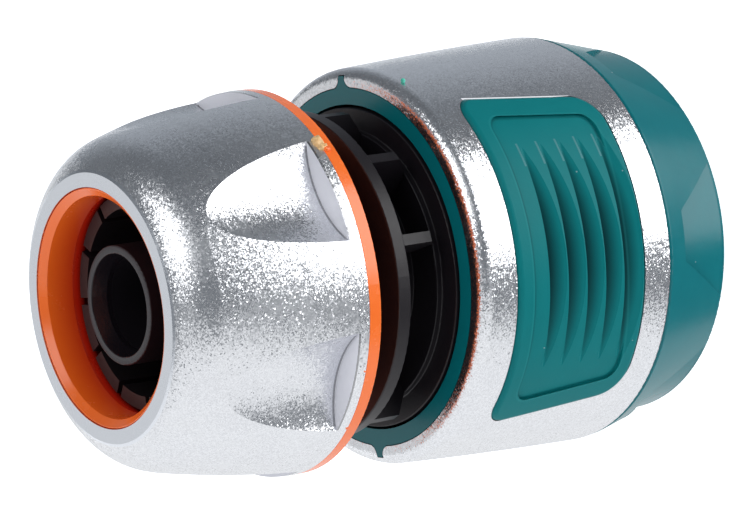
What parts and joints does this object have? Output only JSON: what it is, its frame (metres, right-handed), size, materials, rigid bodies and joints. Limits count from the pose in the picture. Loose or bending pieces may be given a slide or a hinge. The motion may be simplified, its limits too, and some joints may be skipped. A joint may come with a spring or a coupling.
{
  "type": "garden hose quick connector",
  "caption": "Quick connector for a garden hose: a domed clamping nut closes a slotted basket on a barbed spigot, and a sprung sleeve with soft grip pads frees the claws of the plug socket",
  "frame": {"origin": "centre of the socket's end face, on which the part stands", "axes": "+Z runs along the axis from the socket to the mouth for the hose; the grip pads lie on +X and -X"},
  "size_m": [0.0442, 0.044, 0.0649],
  "materials": {
    "black_plastic": "satin black moulding",
    "orange_plastic": "semi-gloss orange moulding",
    "satin_metallised_plastic": "satin metallised coating with a fine sparkling grain",
    "teal_plastic": "semi-gloss teal moulding",
    "teal_soft_plastic": "soft matte teal moulding",
    "spring_steel": "drawn spring wire",
    "white_plastic": "natural acetal moulding"
  },
  "bodies": {
    "body": {"connector_body": "black_plastic", "end_ring": "black_plastic"},
    "sleeve": {"sleeve_core": "teal_plastic", "sleeve_shell": "satin_metallised_plastic", "grip_pad_right": "teal_soft_plastic", "grip_pad_left": "teal_soft_plastic", "sleeve_spring": "spring_steel"},
    "claw_1": {"locking_claw_1": "white_plastic"},
    "claw_2": {"locking_claw_2": "white_plastic"},
    "claw_3": {"locking_claw_3": "white_plastic"},
    "claw_4": {"locking_claw_4": "white_plastic"},
    "basket": {"clamping_basket": "black_plastic"},
    "nut": {"nut_core": "orange_plastic", "nut_shell": "satin_metallised_plastic"}
  },
  "joints": [
    {"name": "sleeve_slide", "type": "slide", "parent": "body", "child": "sleeve", "axis": [0, 0, 1], "range_m": [0, 0.005], "stiffness_N_per_m": 700, "springref_m": -0.006, "deforming": ["sleeve_spring"]},
    {"name": "claw_1_slide", "type": "slide", "parent": "body", "child": "claw_1", "axis": [0.7071, 0.7071, 0], "range_m": [0, 0.0012]},
    {"name": "claw_2_slide", "type": "slide", "parent": "body", "child": "claw_2", "axis": [-0.7071, 0.7071, 0], "range_m": [0, 0.0012]},
    {"name": "claw_3_slide", "type": "slide", "parent": "body", "child": "claw_3", "axis": [-0.7071, -0.7071, 0], "range_m": [0, 0.0012]},
    {"name": "claw_4_slide", "type": "slide", "parent": "body", "child": "claw_4", "axis": [0.7071, -0.7071, 0], "range_m": [0, 0.0012]},
    {"name": "basket_slide", "type": "slide", "parent": "body", "child": "basket", "axis": [0, 0, -1], "range_m": [0, 0.004]},
    {"name": "nut_turn", "type": "hinge", "parent": "basket", "child": "nut", "pos_m": [0, 0, 0.05], "axis": [0, 0, -1], "range_deg": [0, 360]}
  ],
  "couplings": [
    {"joint": "claw_1_slide", "follows": "sleeve_slide", "ratio": 0.24},
    {"joint": "claw_2_slide", "follows": "sleeve_slide", "ratio": 0.24},
    {"joint": "claw_3_slide", "follows": "sleeve_slide", "ratio": 0.24},
    {"joint": "claw_4_slide", "follows": "sleeve_slide", "ratio": 0.24},
    {"joint": "basket_slide", "follows": "nut_turn", "m_per_rad": 0.00063662}
  ]
}
